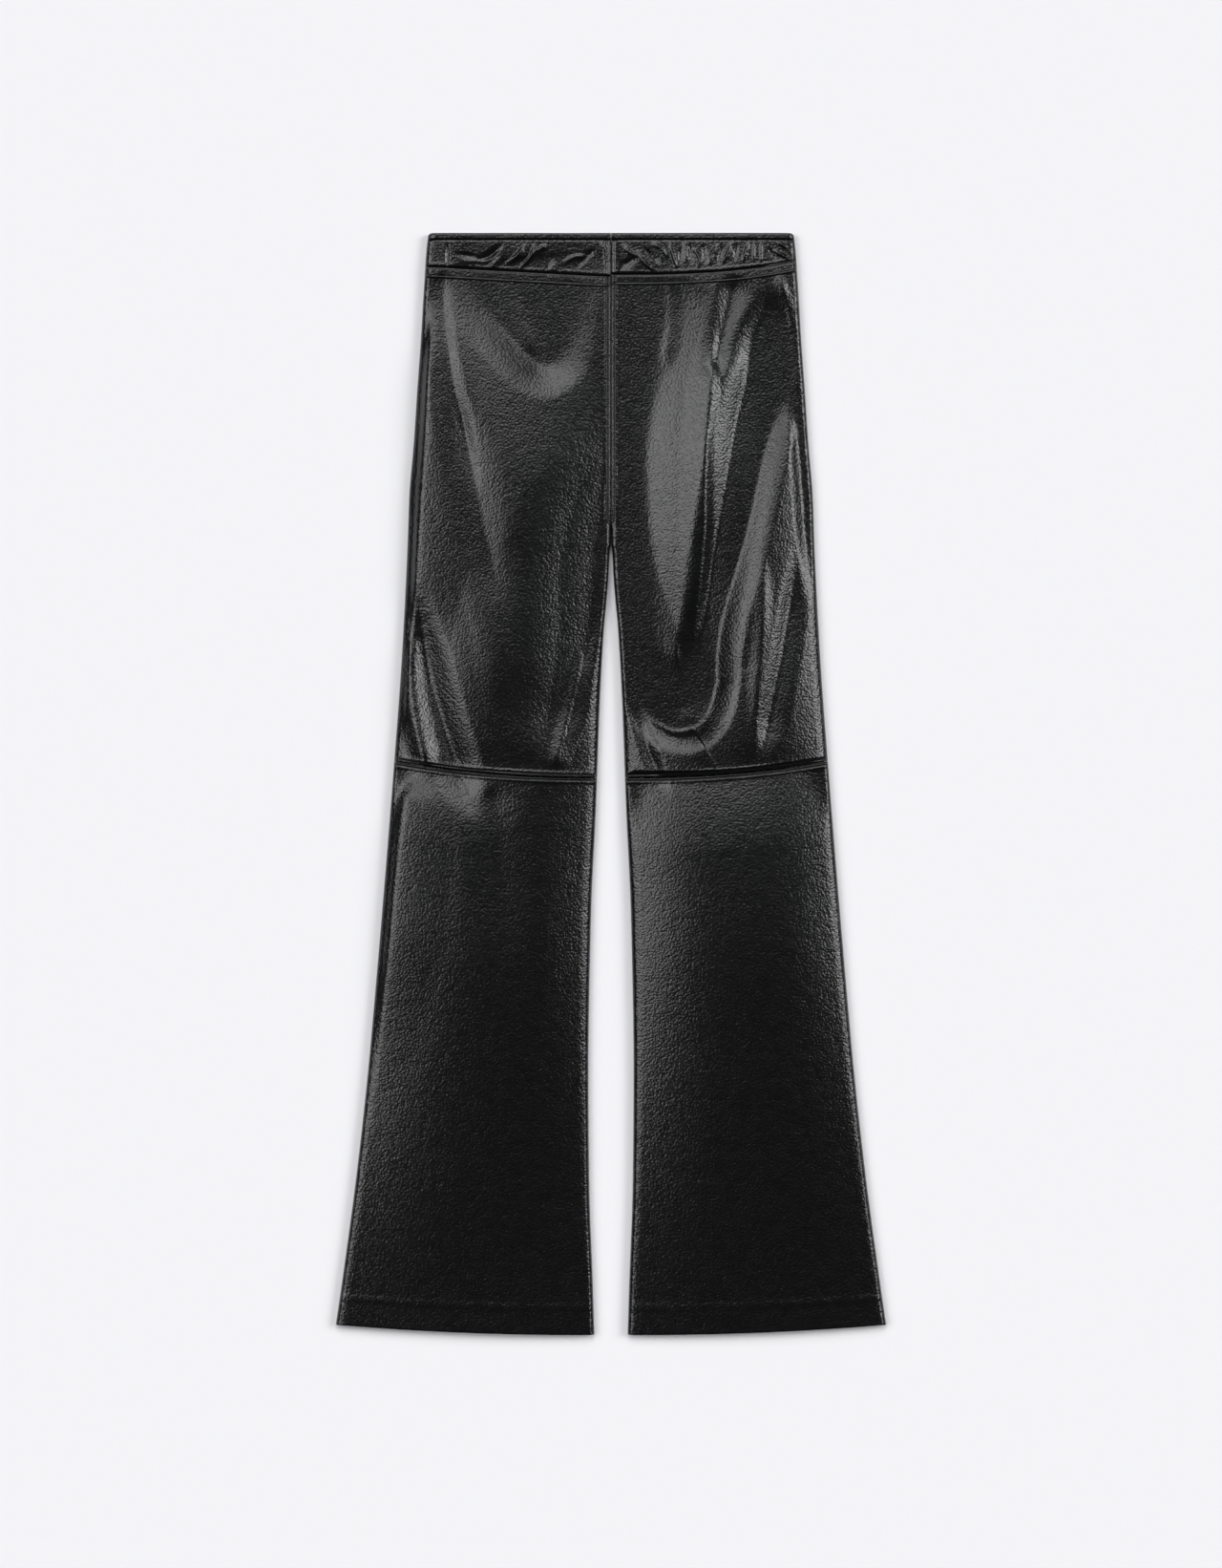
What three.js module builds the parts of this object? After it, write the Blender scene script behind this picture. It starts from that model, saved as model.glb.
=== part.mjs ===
import * as THREE from "three";

// Flared leather trousers laid flat, back uppermost, the waist towards +Y and the hems towards -Y.
// Every piece is one wall of leather: an outer face, an inner face and a rim all round.
// The surface rests on z = 0, and the origin is under the middle of the garment.

// Driving dimensions, in millimetres.
const LENGTH = 1050;
const LEATHER = 1.5;
const SEAM_GAP = 0.3;
const FLAT_HEIGHT = 9;
const EDGE_RADIUS = FLAT_HEIGHT / 2;
const CROTCH_DOWN = 297;
const CROTCH_EASE = 38;
const BINDING_DEPTH = 6.4;
const BINDING_WALL = 2.3;
const BINDING_LIFT = 0.5;
const HEM_TURN_UP = 27;
const HEM_WALL = 2.2;
const HEM_SWEEP = 9.4;
const KNEE_DOWN = 519;
const KNEE_SWEEP = 15.6;
const KNEE_SWEEP_POWER = 2.2;
const SEAM_WELT = 0.7;
const YOKE_WELT_DEPTH = 9;
const KNEE_WELT_DEPTH = 3.5;
const FOLD_FADE = 9;
const PILLOW_POWER = 2.3;
const SEAT_TOP = 60;
const REST = 2;

// The outline of one half at a distance down from the waist edge: how far the side seam and,
// below the crotch, the inseam stand from the centre line.
const SIDE_SEAM = [
  { down: 0, reach: 172.8 },
  { down: 2.5, reach: 174.5 },
  { down: 50, reach: 178.3 },
  { down: 100, reach: 181.3 },
  { down: 150, reach: 184.9 },
  { down: 200, reach: 188.2 },
  { down: 250, reach: 192.4 },
  { down: 300, reach: 194.2 },
  { down: 400, reach: 199.3 },
  { down: 500, reach: 206.5 },
  { down: 600, reach: 214.5 },
  { down: 700, reach: 222.9 },
  { down: 800, reach: 231.9 },
  { down: 900, reach: 243.1 },
  { down: 1000, reach: 256.6 },
  { down: LENGTH, reach: 263.9 },
];
const INSEAM = [
  { down: CROTCH_DOWN, reach: 0.15 },
  { down: 302, reach: 1.2 },
  { down: 325, reach: 2.3 },
  { down: 350, reach: 4.2 },
  { down: 378, reach: 6.8 },
  { down: 450, reach: 10.8 },
  { down: 550, reach: 14.5 },
  { down: 650, reach: 19.1 },
  { down: 800, reach: 21.6 },
  { down: 900, reach: 20.9 },
  { down: 1000, reach: 17.5 },
  { down: LENGTH, reach: 15.9 },
];

// How far the upper layer puffs up at most.
const LOFT = [
  { down: 0, rise: 1.5 },
  { down: 40, rise: 4 },
  { down: 100, rise: 9 },
  { down: 170, rise: 14 },
  { down: 235, rise: 16.5 },
  { down: CROTCH_DOWN, rise: 17 },
  { down: 400, rise: 17 },
  { down: 480, rise: 15 },
  { down: 515, rise: 13.5 },
  { down: 560, rise: 13.5 },
  { down: 660, rise: 14 },
  { down: 780, rise: 11 },
  { down: 900, rise: 7 },
  { down: 1020, rise: 3 },
  { down: LENGTH, rise: 2.5 },
];

// The largest folds of the upper layer. A path runs down the garment through points given as
// [distance from the centre line, distance down from the waist, half the width of the fold's floor].
// A positive rise is a ridge and a negative one a trough. "inside" is the flank on the centre side of
// a path and "outside" the other. "ends" are the shares of the path over which the fold fades out.
const FOLDS = [
  {
    side: "right", rise: -11, inside: 25, outside: 24, ends: [0.1, 0.12],
    path: [[160, 51, 6], [153, 96, 11], [147, 142, 15], [137, 178, 15], [129, 214, 14], [122, 251, 13],
      [115, 287, 12], [107, 324, 10], [100, 360, 7], [93, 396, 7], [86, 431, 11], [72, 453, 18],
      [56, 449, 16], [38, 424, 11], [24, 391, 7]],
  },
  {
    side: "right", rise: -12, inside: 14, outside: 84, ends: [0.05, 0.04],
    path: [[16, 36, 8], [13, 96, 6], [10, 142, 6], [9, 178, 5], [11, 214, 6], [18, 269, 12],
      [25, 324, 17], [35, 369, 22], [44, 406, 23], [58, 438, 18], [69, 457, 13]],
  },
  {
    side: "right", rise: -4.5, inside: 16, outside: 26, ends: [0.2, 0.3],
    path: [[120, 40, 0], [108, 92, 0], [95, 138, 0]],
  },
  {
    side: "right", rise: -5, inside: 11, outside: 10, ends: [0.2, 0.3],
    path: [[180, 142, 3], [185, 178, 5], [189, 233, 5], [192, 287, 4], [194, 360, 2]],
  },
  {
    side: "left", rise: 6, inside: 46, outside: 10, ends: [0.2, 0.3],
    path: [[166, 51, 0], [170, 105, 0], [174, 160, 0], [177, 214, 0], [181, 269, 0], [184, 324, 0],
      [186, 378, 0], [186, 442, 0]],
  },
  {
    side: "left", rise: -8, inside: 24, outside: 26, ends: [0.3, 0.3],
    path: [[186, 333, 0], [176, 406, 0], [163, 456, 0], [146, 510, 0], [127, 560, 0]],
  },
  {
    side: "left", rise: 4.5, inside: 14, outside: 14, ends: [0.3, 0.1],
    path: [[195, 369, 0], [191, 415, 0], [186, 460, 0], [175, 510, 0]],
  },
  {
    side: "left", rise: -8, inside: 32, outside: 34, ends: [0.12, 0.01],
    path: [[84, 22, 49], [81, 55, 40], [74, 85, 29], [66, 109, 18]],
  },
  {
    side: "left", rise: -5, inside: 14, outside: 60, ends: [0.3, 0.2],
    path: [[9, 214, 5], [18, 260, 16], [25, 324, 22], [32, 369, 15], [40, 415, 11], [49, 460, 10],
      [57, 506, 5]],
  },
  {
    side: "left", rise: -4.5, inside: 66, outside: 5, ends: [0.5, 0.05],
    path: [[60, 519, 0], [110, 517, 0], [150, 514, 0], [205, 505, 0]],
  },
  {
    side: "right", rise: -6, inside: 70, outside: 5, ends: [0.1, 0.1],
    path: [[0, 518, 0], [80, 518, 0], [130, 515, 0], [180, 508, 0], [225, 501, 0]],
  },
];

// The gathers of the waistband, each a short upright ridge at a distance from the centre line.
const GATHERS = [
  { side: "left", at: 154, rise: 1.6, width: 5 },
  { side: "left", at: 131, rise: 1.2, width: 8 },
  { side: "left", at: 109, rise: 1.6, width: 5 },
  { side: "left", at: 88, rise: 1.8, width: 5 },
  { side: "left", at: 73, rise: 2.0, width: 5 },
  { side: "left", at: 50, rise: 1.5, width: 6 },
  { side: "left", at: 30, rise: 1.5, width: 7 },
  { side: "right", at: 18, rise: 1.5, width: 6 },
  { side: "right", at: 43, rise: 1.8, width: 6 },
  { side: "right", at: 60, rise: 1.8, width: 5 },
  { side: "right", at: 72, rise: 1.5, width: 4 },
  { side: "right", at: 84, rise: 1.6, width: 4 },
  { side: "right", at: 96, rise: 1.5, width: 4 },
  { side: "right", at: 110, rise: 1.3, width: 5 },
  { side: "right", at: 128, rise: 1.4, width: 6 },
  { side: "right", at: 143, rise: 1.2, width: 4 },
  { side: "right", at: 162, rise: 1.0, width: 5 },
];

const SIGN = { left: -1, right: 1 };
const FOLD_STEPS = 48;
const ROLL_STEPS = 3;

function smoothstep(low, high, value) {
  const t = Math.min(Math.max((value - low) / (high - low), 0), 1);
  return t * t * (3 - 2 * t);
}

// A smooth curve through a table's rows that never swings past them.
function curveOf(rows, column) {
  const at = rows.map((row) => row.down);
  const value = rows.map((row) => row[column]);
  const slope = at.slice(1).map((end, i) => (value[i + 1] - value[i]) / (end - at[i]));
  const tangent = at.map((_, i) => {
    const before = slope[Math.max(i - 1, 0)];
    const after = slope[Math.min(i, slope.length - 1)];
    return before * after <= 0 ? 0 : (2 * before * after) / (before + after);
  });
  return (down) => {
    const here = Math.min(Math.max(down, at[0]), at[at.length - 1]);
    const i = Math.min(at.findLastIndex((start) => start <= here), slope.length - 1);
    const gap = at[i + 1] - at[i];
    const t = (here - at[i]) / gap;
    const rise = smoothstep(0, 1, t) * (value[i + 1] - value[i]);
    const lead = t * (1 - t) ** 2 * gap * tangent[i];
    const trail = t * t * (t - 1) * gap * tangent[i + 1];
    return value[i] + rise + lead + trail;
  };
}

const sideSeam = curveOf(SIDE_SEAM, "reach");
const inseam = curveOf(INSEAM, "reach");
const loft = curveOf(LOFT, "rise");

const innerEdge = (down) => (down <= CROTCH_DOWN ? SEAM_GAP / 2 : inseam(down));

// The lines along which a half is cut, as distances down at a share of the way out from its
// inner edge.
const CUTS = {
  waist: () => 0,
  bindingSeam: () => BINDING_DEPTH,
  leftYoke: (share) => 41 - 9.5 * share,
  rightYoke: (share) => 39 - 13 * share ** 3,
  knee: (share) => KNEE_DOWN - KNEE_SWEEP * share ** KNEE_SWEEP_POWER,
  hem: (share) => LENGTH - HEM_SWEEP * share ** 2,
};
const yokeOf = (side) => (side === "left" ? CUTS.leftYoke : CUTS.rightYoke);

const foldCurves = FOLDS.map((fold) => ({
  ...fold,
  points: new THREE.CatmullRomCurve3(
    fold.path.map((point) => new THREE.Vector3(...point)),
    false,
    "catmullrom",
  ).getPoints(FOLD_STEPS),
}));

// The rise that one fold gives a point: full on its floor, and fading up its flanks and to both ends.
function foldRise(fold, out, down) {
  let beyond = Infinity;
  let turn = 0;
  let along = 0;
  for (let i = 0; i < FOLD_STEPS; i += 1) {
    const start = fold.points[i];
    const run = fold.points[i + 1].clone().sub(start);
    const off = new THREE.Vector2(out - start.x, down - start.y);
    const t = Math.min(Math.max((off.x * run.x + off.y * run.y) / (run.x ** 2 + run.y ** 2), 0), 1);
    const distance = Math.hypot(off.x - t * run.x, off.y - t * run.y) - start.z - t * run.z;
    if (distance < beyond) {
      beyond = distance;
      turn = run.x * off.y - run.y * off.x;
      along = (i + t) / FOLD_STEPS;
    }
  }
  const ends = smoothstep(0, fold.ends[0], along) * smoothstep(1, 1 - fold.ends[1], along);
  const width = (turn > 0 ? fold.inside : fold.outside) * (0.5 + 0.5 * ends);
  return fold.rise * ends * Math.max(0, 1 - Math.max(beyond, 0) / width) ** 1.5;
}

function gatherRise(gather, side, out, share, down) {
  const top = BINDING_DEPTH;
  const depth = (down - top) / (yokeOf(side)(share) - top);
  if (depth <= 0 || depth >= 1) return 0;
  return gather.rise * Math.sin(Math.PI * depth) * Math.exp(-(((out - gather.at) / gather.width) ** 2));
}

// The welts: the leather lies over its seam allowance just below the yoke and along the knee seam.
function weltRise(side, share, down) {
  const below = down - yokeOf(side)(share);
  const yoke = smoothstep(0, 1.5, below) * smoothstep(YOKE_WELT_DEPTH + 2, YOKE_WELT_DEPTH, below);
  const off = Math.abs(down - CUTS.knee(share));
  const knee = smoothstep(0, 1.5, off) * smoothstep(KNEE_WELT_DEPTH + 3, KNEE_WELT_DEPTH, off);
  return SEAM_WELT * (yoke + knee);
}

// The height of the upper layer at a point, before its edges roll down to the seams. Above the
// crotch the two halves share one pillow of air, and below it each leg has its own. A deep fold
// stops, softly, where the leather rests on the layer below.
function upperHeight(side, out, down) {
  const inner = innerEdge(down);
  const outer = sideSeam(down);
  const share = Math.min(Math.max((out - inner) / (outer - inner), 0), 1);
  const seat = smoothstep(-0.15, 0.7, share) * (1 - share ** 5);
  const leg = 1 - Math.abs(2 * share - 1) ** PILLOW_POWER;
  const pillow = loft(down) * (seat + (leg - seat) * smoothstep(SEAT_TOP, CROTCH_DOWN, down));
  const fade = smoothstep(0, FOLD_FADE, outer - out) * edgeFade(out - inner, down);
  const folds = smoothstep(0, FOLD_FADE, out) * foldCurves
    .filter((fold) => fold.side === side)
    .reduce((sum, fold) => sum + foldRise(fold, out, down), 0);
  const air = pillow + Math.min(folds, 0) + Math.max(folds, 0) * fade;
  const puff = ((air + Math.hypot(air, REST)) / 2) * Math.sqrt(fade);
  const gathers = GATHERS
    .filter((gather) => gather.side === side)
    .reduce((sum, gather) => sum + gatherRise(gather, side, out, share, down), 0);
  return FLAT_HEIGHT + puff + (gathers + weltRise(side, share, down)) * smoothstep(-1, 5, outer - out);
}

// How far an inner edge has turned from lying flat at the centre seam to rolling down at an inseam.
const turned = (down) => smoothstep(CROTCH_DOWN - CROTCH_EASE, CROTCH_DOWN, down);
const edgeFade = (inward, down) => 1 - turned(down) * (1 - smoothstep(0, FOLD_FADE, inward));

// A rolled edge, bent through a share of a right angle: at t = 0 the edge itself and at t = 1 the
// place where the roll ends.
function roll(turn, t) {
  const arc = (Math.PI / 2) * EDGE_RADIUS;
  const bend = Math.max(turn, 0.001) * (Math.PI / 2);
  const radius = arc / bend;
  const angle = bend * (1 - t);
  const ease = (EDGE_RADIUS - SEAM_GAP / 2) / EDGE_RADIUS;
  return {
    inward: radius * (Math.sin(bend) - Math.sin(angle)),
    drop: radius * (1 - Math.cos(angle)) * ease,
    angle,
  };
}

// The columns of a panel from its inner edge to its outer edge.
function columnsOf(flat) {
  const steps = Array.from({ length: ROLL_STEPS }, (_, i) => i / ROLL_STEPS);
  const innerRoll = steps.map((t) => ({ edge: "inner", t, share: 0 }));
  const middle = Array.from({ length: flat + 1 }, (_, i) => ({ edge: "none", share: i / flat }));
  const outerRoll = steps.toReversed().map((t) => ({ edge: "outer", t, share: 1 }));
  return [...innerRoll, ...middle, ...outerRoll];
}

// The outer point of a panel in a column, with the direction that faces out of the leather there.
function sectionPoint(side, layer, column, down) {
  const inner = innerEdge(down);
  const outer = sideSeam(down);
  const innerTurn = turned(down);
  let out;
  let drop = 0;
  let tilt = 0;
  if (column.edge === "inner") {
    const bent = roll(innerTurn, column.t);
    out = inner + bent.inward;
    drop = bent.drop;
    tilt = -bent.angle;
  } else if (column.edge === "outer") {
    const bent = roll(1, column.t);
    out = outer - bent.inward;
    drop = bent.drop;
    tilt = bent.angle;
  } else {
    const start = inner + roll(innerTurn, 1).inward;
    const end = outer - roll(1, 1).inward;
    out = start + (end - start) * column.share;
  }
  if (layer === "front") return { out, height: drop, nx: Math.sin(tilt), nz: -Math.cos(tilt) };
  const step = 0.5;
  const slope = (upperHeight(side, out + step, down) - upperHeight(side, out - step, down)) / (2 * step);
  const lean = tilt + (column.edge === "none" ? Math.atan(-slope) : 0);
  return { out, height: upperHeight(side, out, down) - drop, nx: Math.sin(lean), nz: Math.cos(lean) };
}

// One closed wall of leather from two grids of points and the rim between them.
function closedWall(outerGrid, innerGrid) {
  const rows = outerGrid.length;
  const columns = outerGrid[0].length;
  const positions = [...outerGrid.flat(2), ...innerGrid.flat(2)];
  const outerAt = (row, column) => row * columns + column;
  const innerAt = (row, column) => rows * columns + row * columns + column;
  const index = [];
  const quad = (a, b, c, d) => index.push(a, b, c, a, c, d);
  for (let row = 0; row < rows - 1; row += 1) {
    for (let column = 0; column < columns - 1; column += 1) {
      const corners = [[row, column], [row + 1, column], [row + 1, column + 1], [row, column + 1]];
      quad(...corners.map((corner) => outerAt(...corner)));
      quad(...corners.toReversed().map((corner) => innerAt(...corner)));
    }
  }
  const ring = [
    ...Array.from({ length: columns - 1 }, (_, i) => [0, i]),
    ...Array.from({ length: rows - 1 }, (_, i) => [i, columns - 1]),
    ...Array.from({ length: columns - 1 }, (_, i) => [rows - 1, columns - 1 - i]),
    ...Array.from({ length: rows - 1 }, (_, i) => [rows - 1 - i, 0]),
  ];
  ring.forEach((here, i) => {
    const next = ring[(i + 1) % ring.length];
    quad(outerAt(...here), outerAt(...next), innerAt(...next), innerAt(...here));
  });
  const geometry = new THREE.BufferGeometry();
  geometry.setAttribute("position", new THREE.Float32BufferAttribute(positions, 3));
  geometry.setIndex(index);
  return geometry;
}

// A panel between two cut lines. Its rows are shares of the way from the upper line to the lower.
function panelGeometry({ side, layer, upper, lower, rows, flatColumns, wall, lift = () => 0 }) {
  const columns = columnsOf(flatColumns);
  const outerGrid = [];
  const innerGrid = [];
  for (const row of rows) {
    const outerRow = [];
    const innerRow = [];
    for (const column of columns) {
      const top = upper(column.share);
      const down = top + (lower(column.share) - top) * row;
      const point = sectionPoint(side, layer, column, down);
      const thick = wall(down, column.share);
      const x = SIGN[side] * point.out;
      const y = LENGTH / 2 - down;
      const raise = layer === "back" ? lift(row) : 0;
      outerRow.push([x, y, point.height + raise * point.nz]);
      innerRow.push([x - SIGN[side] * thick * point.nx, y, point.height - thick * point.nz]);
    }
    outerGrid.push(outerRow);
    innerGrid.push(innerRow);
  }
  const facesOut = (side === "right") === (layer === "back");
  if (!facesOut) {
    outerGrid.forEach((row) => row.reverse());
    innerGrid.forEach((row) => row.reverse());
  }
  return closedWall(outerGrid, innerGrid);
}

const evenRows = (count) => Array.from({ length: count + 1 }, (_, i) => i / count);

// Rows that crowd towards the given seams, so that their welts have points of their own.
function rowsWithSeams(length, count, above, below) {
  const spread = [...above.map((mm) => mm / length), ...below.map((mm) => 1 - mm / length)];
  const from = Math.max(0, ...above) / length;
  const to = 1 - Math.max(0, ...below) / length;
  const middle = evenRows(count).slice(1, -1).map((share) => from + (to - from) * share);
  return [...new Set([0, ...spread, ...middle, 1])].sort((a, b) => a - b);
}

// Distances from a seam or a hem at which rows are wanted.
const YOKE_ROWS = [1.5, YOKE_WELT_DEPTH, YOKE_WELT_DEPTH + 3];
const KNEE_ROWS = [KNEE_WELT_DEPTH + 3, 2];
const HEM_ROWS = [HEM_TURN_UP + 1, HEM_TURN_UP];

const shifted = (cut, by) => (share) => cut(share) + by;
const HALF_GAP = SEAM_GAP / 2;

// The pieces of one half of one layer, each between two cut lines.
function piecesOf(side, layer) {
  const seen = layer === "back";
  const yoke = yokeOf(side);
  const thighLength = KNEE_DOWN - yoke(0);
  const calfLength = LENGTH - KNEE_DOWN;
  return {
    edge_binding: {
      upper: CUTS.waist,
      lower: shifted(CUTS.bindingSeam, -HALF_GAP),
      rows: [0, 0.2, 0.8, 1],
      flatColumns: seen ? 16 : 6,
      wall: () => BINDING_WALL,
      lift: (row) => (row === 0 ? -0.7 : row === 1 ? -0.2 : BINDING_LIFT),
    },
    waistband: {
      upper: shifted(CUTS.bindingSeam, HALF_GAP),
      lower: shifted(yoke, -HALF_GAP),
      rows: seen ? evenRows(4) : evenRows(2),
      flatColumns: seen ? 34 : 6,
      wall: () => LEATHER,
    },
    thigh: {
      upper: shifted(yoke, HALF_GAP),
      lower: shifted(CUTS.knee, -HALF_GAP),
      rows: seen ? rowsWithSeams(thighLength, 28, YOKE_ROWS, KNEE_ROWS) : evenRows(11),
      flatColumns: seen ? 20 : 6,
      wall: () => LEATHER,
    },
    calf: {
      upper: shifted(CUTS.knee, HALF_GAP),
      lower: CUTS.hem,
      rows: rowsWithSeams(calfLength, seen ? 13 : 8, seen ? KNEE_ROWS : [], HEM_ROWS),
      flatColumns: seen ? 9 : 6,
      wall: (down, share) => (CUTS.hem(share) - down < HEM_TURN_UP + 0.5 ? HEM_WALL : LEATHER),
    },
  };
}

const leather = () => new THREE.MeshStandardMaterial({ color: "#18181a", roughness: 0.42, metalness: 0 });

function pieceMesh(name, options) {
  const mesh = new THREE.Mesh(panelGeometry(options), leather());
  mesh.name = name;
  mesh.geometry.computeVertexNormals();
  return mesh;
}

const trousers = new THREE.Group();
trousers.name = "trousers";
for (const layer of ["back", "front"]) {
  const layerGroup = new THREE.Group();
  for (const side of ["left", "right"]) {
    for (const [piece, options] of Object.entries(piecesOf(side, layer))) {
      layerGroup.add(pieceMesh(`${layer}_${piece}_${side}`, { side, layer, ...options }));
    }
  }
  trousers.add(layerGroup);
}

export default trousers;
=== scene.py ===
# %% [markdown]
# # Flared leather trousers, laid flat
# The garment lies on a pale studio floor with its back uppermost, seen from straight above. It is cut from
# black nappa leather: two thigh panels and two calf panels to a layer, a gathered waistband and a bound top
# edge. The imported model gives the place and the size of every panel. This script gives each panel its
# creases, its seams, its stitches and its grain, in the same frame.

# %% The frame
import math

import bmesh
import bpy
import numpy as np
from mathutils import Matrix, Vector


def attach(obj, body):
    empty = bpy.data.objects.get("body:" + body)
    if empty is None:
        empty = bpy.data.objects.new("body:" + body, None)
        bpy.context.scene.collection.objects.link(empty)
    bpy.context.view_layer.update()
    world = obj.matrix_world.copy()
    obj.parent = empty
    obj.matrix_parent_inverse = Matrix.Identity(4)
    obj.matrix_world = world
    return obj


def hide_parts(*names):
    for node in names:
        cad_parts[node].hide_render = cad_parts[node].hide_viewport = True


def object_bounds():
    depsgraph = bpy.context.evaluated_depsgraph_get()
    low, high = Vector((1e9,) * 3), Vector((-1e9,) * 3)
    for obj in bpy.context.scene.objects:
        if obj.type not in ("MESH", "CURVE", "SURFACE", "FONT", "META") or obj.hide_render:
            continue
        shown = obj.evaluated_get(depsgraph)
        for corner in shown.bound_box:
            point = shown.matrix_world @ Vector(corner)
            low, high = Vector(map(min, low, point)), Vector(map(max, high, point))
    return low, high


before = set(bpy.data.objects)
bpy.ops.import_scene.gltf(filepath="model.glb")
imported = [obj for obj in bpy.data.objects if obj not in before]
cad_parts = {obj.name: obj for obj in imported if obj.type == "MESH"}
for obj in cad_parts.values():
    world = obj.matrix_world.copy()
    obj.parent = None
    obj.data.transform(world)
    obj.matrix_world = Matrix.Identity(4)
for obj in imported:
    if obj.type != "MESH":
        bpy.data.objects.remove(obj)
cad_low, cad_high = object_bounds()
MM = 0.001
LENGTH = (cad_high.y - cad_low.y) / MM
print("nodes", len(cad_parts), "length in mm", round(LENGTH, 1))

# %% [markdown]
# ## Camera
# The photograph looks straight down with a long lens, so that the outline shows no perspective. A 100 mm
# lens at about four metres gives the same framing: the whole image is 1.494 m tall.

# %% The camera
LENS = 100.0
SENSOR = 36.0
VIEW_HEIGHT = 1.494
FLAT_HEIGHT = 9.0

camera_data = bpy.data.cameras.new("camera")
camera_data.lens = LENS
camera_data.sensor_width = SENSOR
camera = bpy.data.objects.new("camera", camera_data)
camera.location = (0, 0, VIEW_HEIGHT * LENS / SENSOR + FLAT_HEIGHT * MM)
bpy.context.scene.collection.objects.link(camera)
bpy.context.scene.camera = camera
print("camera height in m", round(camera.location.z, 2))

# %% [markdown]
# ## Light
# Leather this dark shows almost only reflections, so the light decides where it looks grey. Three very soft
# panels of light stand at the waist end and to each side, and none at the hem end. A slope that faces the
# hem stays black, and any other slope of some ten degrees gets a sheen. A small, brighter core in each
# panel keeps its reflection from looking flat. Area lamps could do the same, but sun lamps with a wide
# angle light the floor evenly from edge to edge. The world is nearly black, with a touch of blue.

# %% The lights
LIGHTS = [
    {"name": "waist_panel", "azimuth": 92, "zenith": 36, "width": 42, "strength": 1.18},
    {"name": "waist_core", "azimuth": 92, "zenith": 34, "width": 20, "strength": 0.15},
    {"name": "left_panel", "azimuth": 165, "zenith": 39, "width": 40, "strength": 1.18},
    {"name": "left_core", "azimuth": 165, "zenith": 37, "width": 18, "strength": 0.15},
    {"name": "right_panel", "azimuth": 15, "zenith": 51, "width": 32, "strength": 1.35},
    {"name": "right_core", "azimuth": 15, "zenith": 50, "width": 14, "strength": 0.2},
]
LAMP_DISTANCE = 3.0
WORLD_GREY = 0.03
WORLD_BLUE = 1.03

for row in LIGHTS:
    lamp = bpy.data.lights.new(row["name"], "SUN")
    lamp.energy = row["strength"]
    lamp.angle = math.radians(row["width"])
    azimuth = math.radians(row["azimuth"])
    zenith = math.radians(row["zenith"])
    flat = math.sin(zenith)
    towards = Vector((math.cos(azimuth) * flat, math.sin(azimuth) * flat, math.cos(zenith)))
    light = bpy.data.objects.new(row["name"], lamp)
    light.location = towards * LAMP_DISTANCE
    light.rotation_euler = towards.to_track_quat("Z", "Y").to_euler()
    bpy.context.scene.collection.objects.link(light)

world = bpy.data.worlds.new("studio")
bpy.context.scene.world = world
world.use_nodes = True
background = world.node_tree.nodes["Background"]
background.inputs["Color"].default_value = (WORLD_GREY, WORLD_GREY, WORLD_GREY * WORLD_BLUE, 1)
bpy.context.scene.view_settings.view_transform = "Standard"
print("lights", len(LIGHTS))

# %% [markdown]
# ## Materials
# One function turns an sRGB hex value to Blender's linear colour, and one adds a node with its settings and
# links. They keep each material below to a few lines.

# %% Two helpers for materials
def linear(hex_value):
    """The linear RGBA colour of an sRGB hex value such as #1a1a1c."""
    channels = [int(hex_value[i:i + 2], 16) / 255 for i in (1, 3, 5)]
    return [c / 12.92 if c <= 0.04045 else ((c + 0.055) / 1.055) ** 2.4 for c in channels] + [1.0]


def add_node(tree, kind, settings=None, **links):
    """Adds a node. Settings are its properties or input values; links are input name to output socket."""
    node = tree.nodes.new(kind)
    for name, value in (settings or {}).items():
        if name in node.inputs:
            node.inputs[name].default_value = value
        else:
            setattr(node, name, value)
    for name, socket in links.items():
        tree.links.new(node.inputs[name.replace("_", " ")], socket)
    return node

# %% [markdown]
# The leather is full-grain nappa, drum-dyed black and lightly polished: a soft sheen, fine pebbles about a
# millimetre across, and slack creases some 12 mm apart where the hide was loose. A photo of leather could
# be laid on it, but it would repeat and stretch. So the pebbles are a Voronoi cell pattern, warped by noise
# so that no two are alike. They are drawn 1.8 mm wide, coarser than real ones, because finer ones would not
# show from four metres. Along each row of stitches the needle has pulled the leather down at every hole,
# which is a wave in the bump with the stitch's own pitch.

# %% The leather
STITCH_PITCH = 2.2
GRAIN_WIDTH = 1.8
GRAIN_DEPTH = 0.32
GRAIN_WARP = 0.9
GRAIN_WARP_WIDTH = 2.4
SLACK_WIDTH = 12.0
SLACK_DEPTH = 0.3
PUCKER_DEPTH = 0.2
PUCKER_NEAR = 0.2
PUCKER_FAR = 1.6
ROUGHNESS = (0.20, 0.27)
LEATHER_BLACK = "#060607"
LEATHER_WORN = "#0c0c0e"


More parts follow.
